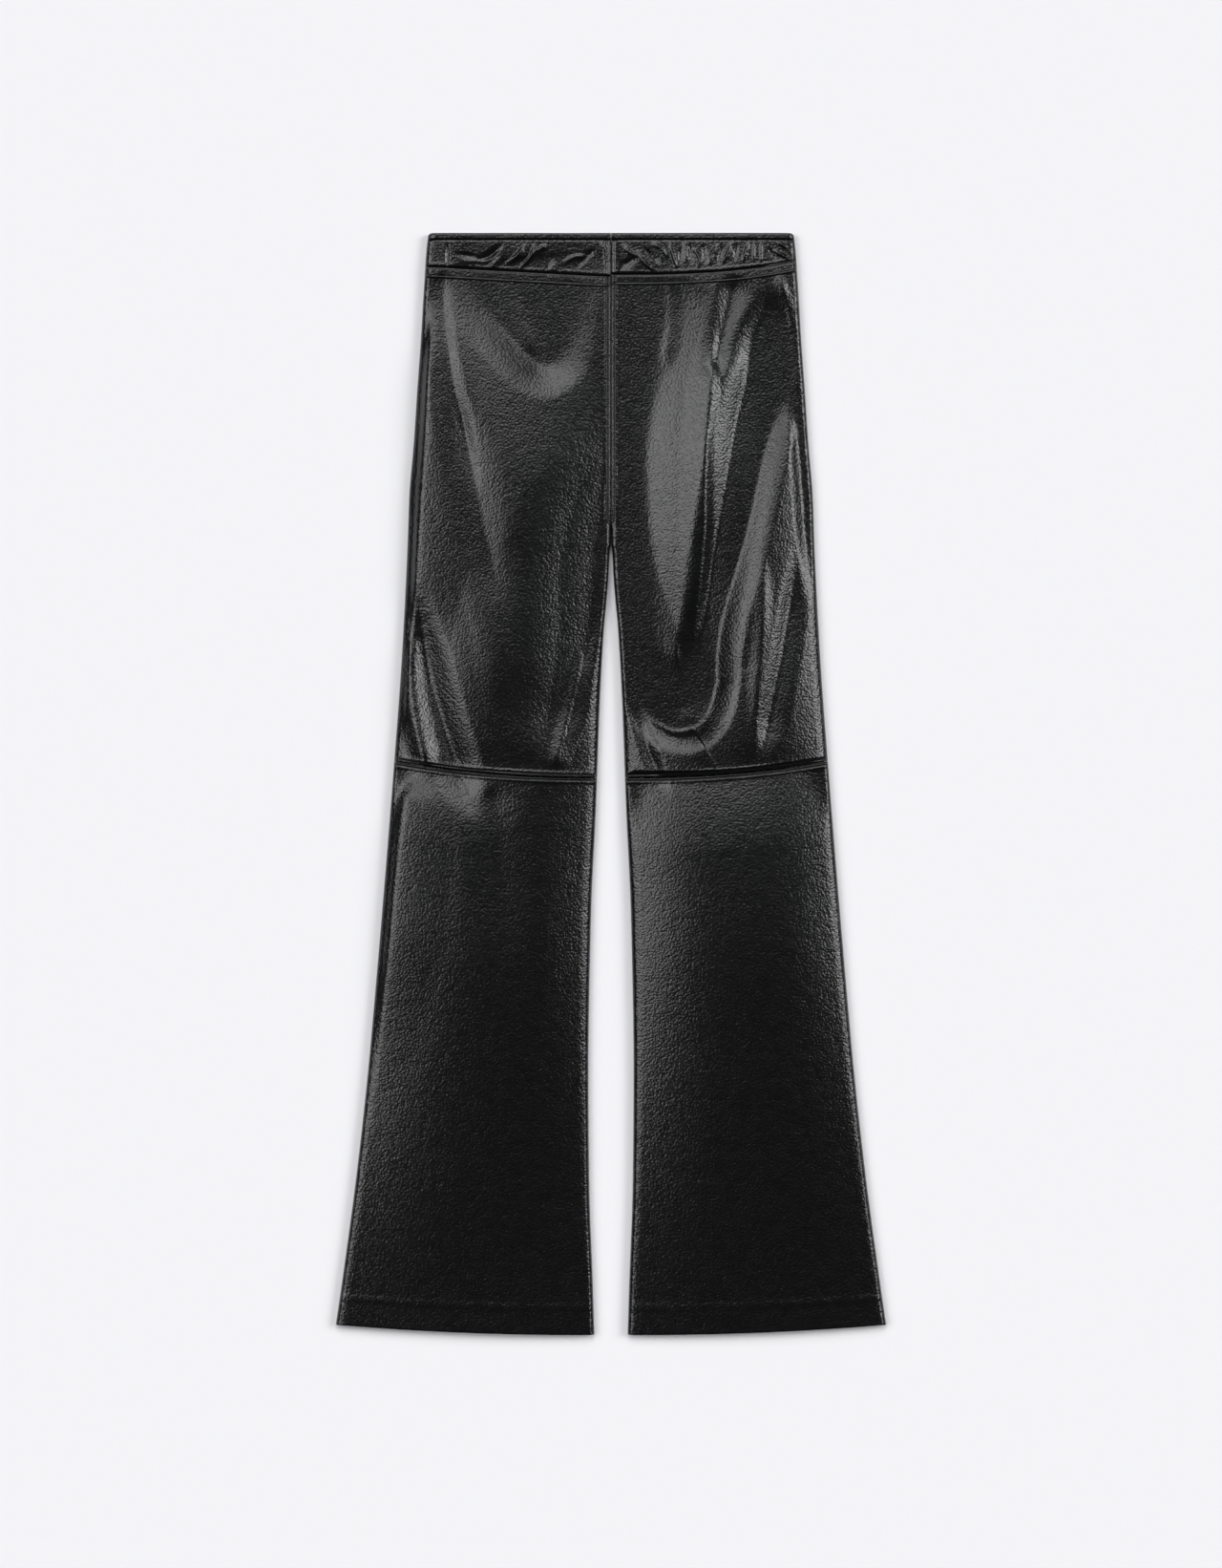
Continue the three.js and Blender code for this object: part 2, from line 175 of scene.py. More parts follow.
def pebble_height(tree, cut):
    """Voronoi cells, at places that a noise has shifted."""
    warp = add_node(tree, "ShaderNodeTexNoise", {"Scale": 1 / (GRAIN_WARP_WIDTH * MM), "Detail": 1.0},
                    Vector=cut)
    shift = add_node(tree, "ShaderNodeVectorMath", {"operation": "SCALE", "Scale": GRAIN_WARP * MM},
                     Vector=warp.outputs["Color"])
    warped = add_node(tree, "ShaderNodeVectorMath", {"operation": "ADD"}, Vector=cut)
    tree.links.new(warped.inputs[1], shift.outputs[0])
    grain = add_node(tree, "ShaderNodeTexVoronoi",
                     {"feature": "SMOOTH_F1", "Scale": 1 / (GRAIN_WIDTH * MM)}, Vector=warped.outputs[0])
    return grain.outputs["Distance"]


def pucker_height(tree):
    """A wave along the nearest row of stitches that dies away from the row."""
    stitch = add_node(tree, "ShaderNodeUVMap", {"uv_map": "stitch"}).outputs["UV"]
    parts = add_node(tree, "ShaderNodeSeparateXYZ", Vector=stitch)
    phase = add_node(tree, "ShaderNodeMath", {"operation": "MULTIPLY"}, Value=parts.outputs["X"])
    phase.inputs[1].default_value = 2 * math.pi / (STITCH_PITCH * MM)
    wave = add_node(tree, "ShaderNodeMath", {"operation": "COSINE"}, Value=phase.outputs[0])
    near = add_node(tree, "ShaderNodeMapRange",
                    {"From Min": PUCKER_FAR * MM, "From Max": PUCKER_NEAR * MM,
                     "interpolation_type": "SMOOTHSTEP"}, Value=parts.outputs["Y"])
    pucker = add_node(tree, "ShaderNodeMath", {"operation": "MULTIPLY"}, Value=wave.outputs[0])
    tree.links.new(pucker.inputs[1], near.outputs[0])
    return pucker.outputs[0]


def nappa_leather():
    material = bpy.data.materials.new("black_nappa_leather")
    material.use_nodes = True
    tree = material.node_tree
    shader = tree.nodes["Principled BSDF"]
    shader.inputs["IOR"].default_value = 1.5
    shader.inputs["Specular IOR Level"].default_value = 0.5
    cut = add_node(tree, "ShaderNodeUVMap", {"uv_map": "cut"}).outputs["UV"]
    slack = add_node(tree, "ShaderNodeTexNoise",
                     {"Scale": 1 / (SLACK_WIDTH * MM), "Detail": 3.0, "Roughness": 0.55, "Distortion": 0.6},
                     Vector=cut)
    slack_bump = add_node(tree, "ShaderNodeBump", {"Distance": SLACK_DEPTH * MM, "Strength": 1.0},
                          Height=slack.outputs["Fac"])
    pucker_bump = add_node(tree, "ShaderNodeBump", {"Distance": PUCKER_DEPTH * MM, "Strength": 1.0},
                           Height=pucker_height(tree), Normal=slack_bump.outputs[0])
    grain_bump = add_node(tree, "ShaderNodeBump",
                          {"Distance": GRAIN_DEPTH * MM, "Strength": 1.0, "invert": True},
                          Height=pebble_height(tree, cut), Normal=pucker_bump.outputs[0])
    tree.links.new(shader.inputs["Normal"], grain_bump.outputs[0])
    polish = add_node(tree, "ShaderNodeMapRange", {"To Min": ROUGHNESS[0], "To Max": ROUGHNESS[1]},
                      Value=slack.outputs["Fac"])
    tree.links.new(shader.inputs["Roughness"], polish.outputs[0])
    dye = add_node(tree, "ShaderNodeMix", {"data_type": "RGBA"}, Factor=slack.outputs["Fac"])
    dye.inputs[6].default_value = linear(LEATHER_BLACK)
    dye.inputs[7].default_value = linear(LEATHER_WORN)
    tree.links.new(shader.inputs["Base Color"], dye.outputs[2])
    return material


leather = nappa_leather()
print("leather", len(leather.node_tree.nodes), "nodes")

# %% [markdown]
# The thread is black three-ply polyester, a touch more matt than the leather. Its twist is a wave across
# the stitch. The floor is a plain pale board that reflects nothing sharply. It lies a hair under the
# garment.

# %% The thread and the floor
THREAD_BLACK = "#060607"
TWIST_DEPTH = 0.05
FLOOR_PALE = "#f3f3f6"
FLOOR_REACH = 6.0
FLOOR_DROP = 0.4


def sewing_thread():
    material = bpy.data.materials.new("polyester_sewing_thread")
    material.use_nodes = True
    tree = material.node_tree
    shader = tree.nodes["Principled BSDF"]
    shader.inputs["Base Color"].default_value = linear(THREAD_BLACK)
    shader.inputs["Roughness"].default_value = 0.55
    place = add_node(tree, "ShaderNodeTexCoord").outputs["Object"]
    twist = add_node(tree, "ShaderNodeTexWave", {"Scale": 1 / (2 * MM), "Distortion": 1.0,
                                                 "bands_direction": "DIAGONAL"}, Vector=place)
    bump = add_node(tree, "ShaderNodeBump", {"Distance": TWIST_DEPTH * MM}, Height=twist.outputs["Fac"])
    tree.links.new(shader.inputs["Normal"], bump.outputs[0])
    return material


def studio_floor():
    material = bpy.data.materials.new("matt_studio_board")
    material.use_nodes = True
    shader = material.node_tree.nodes["Principled BSDF"]
    shader.inputs["Base Color"].default_value = linear(FLOOR_PALE)
    shader.inputs["Roughness"].default_value = 1.0
    shader.inputs["Specular IOR Level"].default_value = 0.0
    return material


thread = sewing_thread()
floor_mesh = bpy.data.meshes.new("floor")
floor_bm = bmesh.new()
bmesh.ops.create_grid(floor_bm, x_segments=1, y_segments=1, size=FLOOR_REACH)
bmesh.ops.translate(floor_bm, verts=floor_bm.verts[:], vec=(0, 0, -FLOOR_DROP * MM))
floor_bm.to_mesh(floor_mesh)
floor_bm.free()
floor = bpy.data.objects.new("floor", floor_mesh)
floor_mesh.materials.append(studio_floor())
bpy.context.scene.collection.objects.link(floor)
print("floor reaches", FLOOR_REACH, "m each way")

# %% [markdown]
# ## The cut
# Each half is drawn by two curves, its side seam and its inseam, given as a reach from the centre line at a
# distance down from the waist. A traced outline would have hundreds of points. A dozen rows and a smooth
# curve through them give the same shape and stay easy to change. All sizes from here on are in millimetres,
# and only the last step turns them to metres.

# %% The outline
EDGE_RADIUS = FLAT_HEIGHT / 2
ROLL_ARC = math.pi / 2 * EDGE_RADIUS
SEAM_GAP = 0.3
CROTCH_DOWN = 297.0
CROTCH_EASE = 38.0

SIDE_SEAM_DOWN = [0, 2.5, 50, 100, 150, 200, 250, 300, 400, 500, 600, 700, 800, 900, 1000, 1050]
SIDE_SEAM_REACH = [172.8, 174.5, 178.3, 181.3, 184.9, 188.2, 192.4, 194.2, 199.3, 206.5, 214.5, 222.9, 231.9,
                   243.1, 256.6, 263.9]
INSEAM_DOWN = [297, 302, 325, 350, 378, 450, 550, 650, 800, 900, 1000, 1050]
INSEAM_REACH = [0.15, 1.2, 2.3, 4.2, 6.8, 10.8, 14.5, 19.1, 21.6, 20.9, 17.5, 15.9]
LOFT_DOWN = [0, 40, 100, 170, 235, 297, 400, 480, 515, 560, 660, 780, 900, 1020, 1050]
LOFT = [1.5, 4, 9, 14, 16.5, 17, 17, 15, 13.5, 13.5, 14, 11, 7, 3, 2.5]


def smoothstep(low, high, value):
    t = np.clip((np.asarray(value, float) - low) / (high - low), 0, 1)
    return t * t * (3 - 2 * t)


def smooth_curve(at, value, here):
    """A smooth curve through a table that never swings past its rows."""
    at, value = np.asarray(at, float), np.asarray(value, float)
    slope = np.diff(value) / np.diff(at)
    before = np.concatenate([slope[:1], slope])
    after = np.concatenate([slope, slope[-1:]])
    with np.errstate(divide="ignore", invalid="ignore"):
        tangent = np.where(before * after <= 0, 0, 2 * before * after / (before + after))
    here = np.clip(here, at[0], at[-1])
    i = np.clip(np.searchsorted(at, here, side="right") - 1, 0, len(slope) - 1)
    gap = at[i + 1] - at[i]
    t = (here - at[i]) / gap
    rise = t * t * (3 - 2 * t) * (value[i + 1] - value[i])
    return value[i] + rise + t * (1 - t) ** 2 * gap * tangent[i] + t * t * (t - 1) * gap * tangent[i + 1]


def side_seam(down):
    return smooth_curve(SIDE_SEAM_DOWN, SIDE_SEAM_REACH, down)


def inner_edge(down):
    return np.where(down <= CROTCH_DOWN, SEAM_GAP / 2, smooth_curve(INSEAM_DOWN, INSEAM_REACH, down))


def turned(down):
    """How far an inner edge has turned from lying flat at the centre seam to rolling down at an inseam."""
    return smoothstep(CROTCH_DOWN - CROTCH_EASE, CROTCH_DOWN, down)


for place, here in (("waist", 0.0), ("crotch", CROTCH_DOWN), ("hem", LENGTH)):
    print("half width in mm at the", place, round(float(side_seam(here) - inner_edge(here)), 1))

# %% [markdown]
# The pieces are cut apart along five lines. Each is a distance down at a share of the way out across its
# half. The yoke seam is straight on the left half and curls up to the side seam on the right one, as the
# photograph shows. The knee seam and the hem rise towards the side seam too.

# %% The cutting lines
BINDING_DEPTH = 6.4
YOKE_DOWN = {"left": 41.0, "right": 39.0}
YOKE_RISE = {"left": 9.5, "right": 13.0}
YOKE_POWER = {"left": 1, "right": 3}
KNEE_DOWN = 519.0
KNEE_RISE = 15.6
KNEE_POWER = 2.2
HEM_RISE = 9.4
HEM_TURN_UP = 27.0


def waist_line(side, share):
    return 0 * share


def binding_line(side, share):
    return BINDING_DEPTH + 0 * share


def yoke_line(side, share):
    return YOKE_DOWN[side] - YOKE_RISE[side] * share ** YOKE_POWER[side]


def knee_line(side, share):
    return KNEE_DOWN - KNEE_RISE * np.clip(share, 0, 1) ** KNEE_POWER


def hem_line(side, share):
    return LENGTH - HEM_RISE * share ** 2


for seam, line in (("yoke", yoke_line), ("knee", knee_line), ("hem", hem_line)):
    print(seam, "at the right side seam, mm down", round(float(line("right", 1.0)), 1))

# %% [markdown]
# ## Creases
# Leather this soft folds with rounded crests and sharp valleys. A cloth simulation would make creases too,
# but not the ones in the photograph, so each is drawn as a path of points: how far out from the
# centre line, how far down from the waist and, where it has one, half the width of its flat floor. A
# negative rise makes a trough and a positive one a ridge. "inside" and "outside" are the widths of its
# flanks, the first towards the centre line where the path runs down the leg. "soft" says over how many
# millimetres a floor turns into a flank, and "ends" over which shares of the path the crease fades away:
# with 0 it ends round, at full depth.

# %% The creases of the two thighs
CREASES = [
    # the long trough that drops from the right hip and hooks in above the knee
    {"side": "right", "rise": -11.0, "inside": 25, "outside": 24, "soft": 2.2, "ends": (0.10, 0.12),
     "path": [(160, 51, 6), (153, 96, 11), (147, 142, 15), (137, 178, 15), (129, 214, 14), (122, 251, 13),
              (115, 287, 12), (107, 324, 10), (100, 360, 7), (93, 396, 7), (86, 431, 11), (72, 453, 18),
              (56, 449, 16), (38, 424, 11), (24, 391, 7)]},
    # the trough beside the centre seam, and the broad slope out of it
    {"side": "right", "rise": -12.0, "inside": 14, "outside": 84, "soft": 2.6, "ends": (0.05, 0.04),
     "path": [(16, 36, 8), (13, 96, 6), (10, 142, 6), (9, 178, 5), (11, 214, 6), (18, 269, 12), (25, 324, 17),
              (35, 369, 22), (44, 406, 23), (58, 438, 18), (69, 457, 13)]},
    # the crest and the lines between the two
    {"side": "right", "rise": 3.5, "inside": 24, "outside": 9, "soft": 1.5, "ends": (0.15, 0.30),
     "path": [(98, 87), (95, 142), (90, 196), (89, 251), (89, 287), (86, 324), (82, 360), (77, 406)]},
    {"side": "right", "rise": -4.5, "inside": 16, "outside": 26, "soft": 2.4, "ends": (0.20, 0.30),
     "path": [(120, 40), (108, 92), (95, 138)]},
    {"side": "right", "rise": 2.0, "inside": 14, "outside": 12, "soft": 3.0, "ends": (0.30, 0.30),
     "path": [(55, 42), (55, 87), (49, 133)]},
    {"side": "right", "rise": 1.7, "inside": 10, "outside": 8, "soft": 2.2, "ends": (0.30, 0.30),
     "path": [(143, 296), (145, 342), (143, 387), (139, 433), (135, 497)]},
    {"side": "right", "rise": -3.6, "inside": 11, "outside": 18, "soft": 2.4, "ends": (0.30, 0.20),
     "path": [(178, 296), (171, 351), (162, 406), (153, 451), (144, 502)]},
    {"side": "right", "rise": 2.0, "inside": 8, "outside": 6, "soft": 2.0, "ends": (0.15, 0.30),
     "path": [(159, 38), (166, 60), (172, 87), (176, 123), (178, 169)]},
    {"side": "right", "rise": -5.0, "inside": 11, "outside": 10, "soft": 3.0, "ends": (0.20, 0.30),
     "path": [(180, 142, 3), (185, 178, 5), (189, 233, 5), (192, 287, 4), (194, 360, 2)]},
    {"side": "right", "rise": -3.5, "inside": 7, "outside": 10, "soft": 2.0, "ends": (0.30, 0.35),
     "path": [(15, 406), (22, 451), (40, 506), (55, 538)]},
    # the long line down the left thigh, narrow above and broad below
    {"side": "left", "rise": -3.4, "inside": 11, "outside": 24, "soft": 1.8, "ends": (0.05, 0.40),
     "path": [(163, 38), (158, 96), (151, 142), (142, 178), (135, 214), (127, 251)]},
    {"side": "left", "rise": -3.8, "inside": 36, "outside": 40, "soft": 2.0, "ends": (0.35, 0.35),
     "path": [(149, 142), (142, 178), (135, 214), (127, 251), (120, 287), (112, 324), (104, 360), (93, 415)]},
    # the ridge along its side seam, the low ground beside it, and the wedge above the knee
    {"side": "left", "rise": 6.0, "inside": 46, "outside": 10, "soft": 3.0, "ends": (0.20, 0.30),
     "path": [(166, 51), (170, 105), (174, 160), (177, 214), (181, 269), (184, 324), (186, 378), (186, 442)]},
    {"side": "left", "rise": -1.6, "inside": 28, "outside": 14, "soft": 5.0, "ends": (0.30, 0.30),
     "path": [(187, 160, 7), (186, 205, 9), (182, 260, 12), (173, 315, 17), (160, 360, 18), (146, 415, 14),
              (129, 478, 7)]},
    {"side": "left", "rise": -8.0, "inside": 24, "outside": 26, "soft": 2.6, "ends": (0.30, 0.30),
     "path": [(186, 333), (176, 406), (163, 456), (146, 510), (127, 560)]},
    {"side": "left", "rise": 4.5, "inside": 14, "outside": 14, "soft": 3.0, "ends": (0.30, 0.10),
     "path": [(195, 369), (191, 415), (186, 460), (175, 510)]},
    # the hollow of the seat, shaped like a V
    {"side": "left", "rise": -8.0, "inside": 32, "outside": 34, "soft": 2.6, "ends": (0.12, 0.00),
     "path": [(84, 22, 49), (80, 55, 38), (72, 85, 25), (63, 113, 11)]},
    {"side": "left", "rise": 2.2, "inside": 10, "outside": 16, "soft": 2.6, "ends": (0.25, 0.25),
     "path": [(104, 38), (86, 83), (71, 118)]},
    # the trough down the inside of the left thigh
    {"side": "left", "rise": -5.0, "inside": 14, "outside": 60, "soft": 2.4, "ends": (0.30, 0.20),
     "path": [(9, 214, 5), (18, 260, 16), (25, 324, 22), (32, 369, 15), (40, 415, 11), (49, 460, 10),
              (57, 506, 5)]},
    {"side": "left", "rise": 2.2, "inside": 13, "outside": 9, "soft": 2.2, "ends": (0.30, 0.10),
     "path": [(27, 396), (33, 428), (42, 465), (53, 510)]},
]

# %% [markdown]
# Below the knee the leather lies almost flat. It dips along the knee seam, more on the right leg, and rises
# again in a long slope that faces the waist, which is why the calves are lightest there.

# %% The swells of the two calves
CREASES += [
    {"side": "left", "rise": -4.5, "inside": 66, "outside": 5, "soft": 1.5, "ends": (0.5, 0.05),
     "path": [(60, 519), (110, 517), (150, 514), (205, 505)]},
    {"side": "left", "rise": -2.4, "inside": 34, "outside": 34, "soft": 6.0, "ends": (0.2, 0.5),
     "path": [(116, 526), (109, 551), (104, 620), (96, 688), (92, 760)]},
    {"side": "left", "rise": 4.0, "inside": 50, "outside": 10, "soft": 3.0, "ends": (0.1, 0.4),
     "path": [(192, 522), (200, 580), (206, 640), (214, 720), (226, 840)]},
    {"side": "right", "rise": -6.0, "inside": 70, "outside": 5, "soft": 1.5, "ends": (0.1, 0.1),
     "path": [(0, 518), (80, 518), (130, 515), (180, 508), (225, 501)]},
]
print("creases", len(CREASES))

# %% [markdown]
# The waistband is gathered by the elastic inside it. Each gather is a short crease of its own width and
# lean.

# %% The gathers of the waistband
GATHERS = [
    # side, rise, width inside, width outside, path
    ("left", -1.6, 2.0, 2.5, [(155, 11), (156, 31)]),
    ("left", -2.0, 6.0, 3.5, [(127, 25), (116, 22), (104, 12)]),
    ("left", -1.2, 3.0, 5.0, [(146, 20), (127, 23)]),
    ("left", 1.6, 3.0, 5.0, [(116, 34), (107, 25)]),
    ("left", 1.8, 2.2, 4.5, [(100, 29), (90, 22), (82, 12)]),
    ("left", 2.0, 1.6, 3.0, [(86, 32), (77, 23), (73, 12)]),
    ("left", 1.4, 2.5, 4.0, [(73, 18), (62, 12)]),
    ("left", 1.1, 2.5, 4.0, [(46, 29), (38, 24), (31, 22), (20, 23)]),
    ("left", 1.2, 5.0, 5.0, [(56, 38), (55, 29)]),
    ("left", -1.0, 4.0, 4.0, [(33, 32), (16, 16)]),
    ("left", 1.3, 1.6, 2.0, [(11, 9), (5, 16), (5, 27)]),
    ("right", -1.6, 6.0, 4.0, [(11, 31), (22, 25)]),
    ("right", 1.4, 2.0, 4.0, [(11, 12), (18, 19), (23, 22)]),
    ("right", 1.8, 1.8, 3.5, [(25, 18), (32, 29), (40, 35)]),
    ("right", -1.4, 3.0, 4.0, [(33, 16), (46, 29)]),
    ("right", 1.7, 3.0, 3.0, [(40, 11), (47, 14), (52, 22)]),
    ("right", 2.0, 1.4, 2.4, [(56, 12), (59, 22), (62, 33)]),
    ("right", 1.4, 2.6, 2.6, [(69, 10), (72, 18), (71, 27)]),
    ("right", -1.2, 2.2, 2.2, [(66, 16), (66, 29)]),
    ("right", -1.5, 2.4, 2.6, [(76, 12), (77, 29)]),
    ("right", 2.2, 1.4, 2.0, [(80, 17), (84, 25), (83, 32)]),
    ("right", -1.3, 2.5, 2.5, [(88, 12), (90, 29)]),
    ("right", 1.6, 2.0, 3.2, [(102, 12), (96, 20), (94, 29)]),
    ("right", -1.2, 2.4, 2.4, [(106, 14), (102, 29)]),
    ("right", 1.8, 1.6, 2.8, [(114, 11), (111, 20), (107, 27)]),
    ("right", -1.2, 3.0, 3.0, [(120, 12), (118, 25)]),
    ("right", 1.8, 2.0, 2.8, [(131, 11), (128, 19), (126, 26)]),
    ("right", 1.2, 1.2, 1.2, [(136, 10), (136, 27)]),
    ("right", 1.2, 1.2, 1.2, [(143, 10), (143, 27)]),
    ("right", -1.2, 3.0, 3.0, [(151, 16), (157, 25)]),
    ("right", 1.5, 1.6, 2.6, [(155, 17), (164, 22), (169, 25)]),
    ("right", 1.2, 1.6, 2.2, [(159, 9), (167, 14)]),
]
print("gathers", len(GATHERS))

# %% [markdown]
# The path is made smooth first, by a Catmull-Rom curve through its points. A point of the leather is then
# measured to the nearest stretch of the path. The flank's width and the fade at the ends are blended over
# the stretches near by, so that nothing jumps inside a bend.

# %% How a crease raises the leather
PATH_STEPS = 5
PATH_BLEND = 3.0
FLANK_POWER = 1.5
NEAR_SHARE = 1.3
NEAR_EXTRA = 5.0


def smooth_path(points):
    """A Catmull-Rom curve through the points."""
    p = np.array([points[0]] + list(points) + [points[-1]], float)
    t = np.linspace(0, 1, PATH_STEPS, endpoint=False)[:, None]
    runs = []
    for a, b, c, d in zip(p[:-3], p[1:-2], p[2:-1], p[3:]):
        runs.append(0.5 * (2 * b + (c - a) * t + (2 * a - 5 * b + 4 * c - d) * t ** 2
                           + (3 * b - 3 * c + d - a) * t ** 3))
    return np.vstack(runs + [p[-1:]])


def crease_rise(crease, out, down):
    """How far one crease lifts or lowers each point. Only points near its path are measured."""
    path = smooth_path(crease["path"])
    floor = path[:, 2] if path.shape[1] == 3 else np.zeros(len(path))
    path = path[:, :2]
    reach = NEAR_SHARE * max(crease["inside"], crease["outside"]) + floor.max() + NEAR_EXTRA
    rise = np.zeros_like(out)
    near = ((out > path[:, 0].min() - reach) & (out < path[:, 0].max() + reach)
            & (down > path[:, 1].min() - reach) & (down < path[:, 1].max() + reach))
    if not near.any():
        return rise
    points = np.stack([out[near], down[near]], axis=-1)
    step = np.diff(path, axis=0)
    offset = points[:, None, :] - path[None, :-1, :]
    t = np.clip((offset * step).sum(-1) / (step * step).sum(-1), 0, 1)
    miss = offset - t[..., None] * step
    far = np.hypot(miss[..., 0], miss[..., 1])
    inward = step[:, 0] * offset[..., 1] - step[:, 1] * offset[..., 0] > 0
    along = (np.arange(len(step)) + t) / len(step)
    start, stop = crease["ends"]
    ends = smoothstep(0, start, along) * (smoothstep(1, 1 - stop, along) if stop else 1)
    half = floor[:-1] * (1 - t) + floor[1:] * t
    share = np.exp(-((far - half) - (far - half).min(axis=1, keepdims=True)) / PATH_BLEND)
    share /= share.sum(axis=1, keepdims=True)
    ends = (ends * share).sum(axis=1)
    width = (np.where(inward, crease["inside"], crease["outside"]) * share).sum(axis=1) * (0.5 + 0.5 * ends)
    away = np.sqrt(np.maximum((far - half).min(axis=1), 0) ** 2 + crease["soft"] ** 2) - crease["soft"]
    rise[near] = crease["rise"] * ends * np.clip(1 - away / width, 0, 1) ** FLANK_POWER
    return rise


first_path = smooth_path(CREASES[0]["path"])
print("stretches in the first crease", len(first_path) - 1)

# %% [markdown]
# ## Seams
# A seam pulls the leather down into a ditch, and the folded seam allowance under it makes a soft welt
# beside it. The waistband's seam is flat-felled: both rows of stitches run below it, 7 mm apart, with a
# raised band between. The knee and the centre seam are pressed open and sewn down on both sides. A seam's
# section is a sum of bells, each with its rise, its place across the seam and its width.

# %% How a seam raises the leather
YOKE_ROWS = (1.9, 8.7)
KNEE_ROW = 2.8
CENTRE_ROW = 3.2
CENTRE_ROW_END = 274.0
FELL_HEIGHT = 1.0
FELL_TOP = (0.1, 1.4)
FELL_BOTTOM = (11.0, 9.3)
SEAM_SECTIONS = {
    # rise, place, width
    "yoke": [(-0.35, YOKE_ROWS[0], 0.6), (-0.35, YOKE_ROWS[1], 0.6), (-0.8, 0, 0.7), (0.25, -2.2, 1.4)],
    "knee": [(0.95, 1.5, 0.9), (-0.8, 0, 0.5), (-0.3, KNEE_ROW, 0.5), (0.5, 4.4, 1.5)],
    "centre": [(0.5, 1.6, 0.9), (-0.5, 0, 0.5), (-0.3, CENTRE_ROW, 0.5), (0.4, 4.8, 1.5)],
    "hem": [(0.55, HEM_TURN_UP, 1.6), (-0.5, 0, 0.8)],
}
CENTRE_FADE = 8.0
BINDING_EASE = 3.0
GATHER_ENDS = (0.35, 0.35)
GATHER_SOFT = 0.8
GATHER_FADE = 0.12


def bell(distance, width):
    return np.exp(-(distance / width) ** 2)


def section(seam, distance):
    return sum(rise * bell(distance - place, width) for rise, place, width in SEAM_SECTIONS[seam])


def seam_rise(side, out, down, share):
    yoke = down - yoke_line(side, share)
    felled = FELL_HEIGHT * smoothstep(*FELL_TOP, yoke) * smoothstep(*FELL_BOTTOM, yoke)
    knee = np.abs(down - knee_line(side, share))
    seat = (1 - turned(down + CENTRE_FADE)) * smoothstep(BINDING_DEPTH, BINDING_DEPTH + BINDING_EASE, down)
    hem = hem_line(side, share) - down
    waist = felled + section("yoke", yoke)
    return waist + section("knee", knee) + section("centre", out) * seat + section("hem", hem)


def gather_rise(side, out, down, share):
    depth = (down - BINDING_DEPTH) / (yoke_line(side, share) - BINDING_DEPTH)
    total = np.zeros_like(out)
    for row_side, rise, inside, outside, path in GATHERS:
        if row_side == side:
            total += crease_rise({"rise": rise, "inside": inside, "outside": outside, "soft": GATHER_SOFT,
                                  "path": path, "ends": GATHER_ENDS}, out, down)
    return total * smoothstep(0, GATHER_FADE, depth) * smoothstep(1, 1 - GATHER_FADE, depth)


print("depth of the knee seam in mm", round(float(-section("knee", 0.0)), 2))

# %% [markdown]
# The upper layer stands on all of this: the flat height of two layers, the pillow of air between them, the
# creases, the seams and the gathers. Above the crotch the air is one swell that both halves share, and
# below it each leg has its own. A deep crease stops, softly, where the leather rests on the layer below.
# Near a rolled edge the creases fade, so that the outline stays true.

# %% The height of the upper layer
FOLD_FADE = 9.0
REST = 2.0
SEAT_SWELL = (-0.15, 0.7)
SEAT_POWER = 5
SEAT_DOWN = 60.0
LEG_POWER = 2.3
DETAIL_FADE = (-1.0, 5.0)


def upper_height(side, out, down):
    """The height of the leather's outer face over the floor, in millimetres."""
    inner, outer, turn = inner_edge(down), side_seam(down), turned(down)
    share = np.clip((out - inner) / (outer - inner), 0, 1)
    seat = smoothstep(*SEAT_SWELL, share) * (1 - share ** SEAT_POWER)
    leg = 1 - np.abs(2 * share - 1) ** LEG_POWER
    swell = seat + (leg - seat) * smoothstep(SEAT_DOWN, CROTCH_DOWN, down)
    pillow = smooth_curve(LOFT_DOWN, LOFT, down) * swell
    folds = sum(crease_rise(crease, out, down) for crease in CREASES if crease["side"] == side)
    folds = folds * smoothstep(0, FOLD_FADE, out)
    fade = smoothstep(0, FOLD_FADE, outer - out) * (1 - turn * (1 - smoothstep(0, FOLD_FADE, out - inner)))
    air = pillow + np.minimum(folds, 0) + np.maximum(folds, 0) * fade
    air = (air + np.sqrt(air ** 2 + REST ** 2)) / 2 * fade ** 0.5
    edge = smoothstep(*DETAIL_FADE, outer - out)
    detail = gather_rise(side, out, down, share) + seam_rise(side, out, down, share)
    return FLAT_HEIGHT + air + detail * edge


for side in ("left", "right"):
    here = upper_height(side, np.array([100.0]), np.array([300.0]))
    print(side, "thigh, height in mm at 100 out and 300 down", round(float(here[0]), 1))

# %% [markdown]
# ## Panels
# A panel starts as a flat grid from bmesh. Its columns run from the inner edge to the side seam: first the
# columns of the inner roll, then the flat part, then the roll down to the side seam. Its rows crowd where a
# seam needs them. Every grid point is then moved to its place on the garment, and a Solidify modifier gives
# the wall.

# %% Where the columns and rows of a panel go
INNER_COLUMNS = 12
OUTER_COLUMNS = 9


def rolled(turn, t):
    """Distance in and drop of a point on a rolled edge; t runs from the edge, 0, to the flat, 1."""
    bend = np.maximum(turn, 0.001) * math.pi / 2
    radius = ROLL_ARC / bend
    angle = bend * (1 - t)
    drop = radius * (1 - np.cos(angle)) * (EDGE_RADIUS - SEAM_GAP / 2) / EDGE_RADIUS
    return radius * (np.sin(bend) - np.sin(angle)), drop


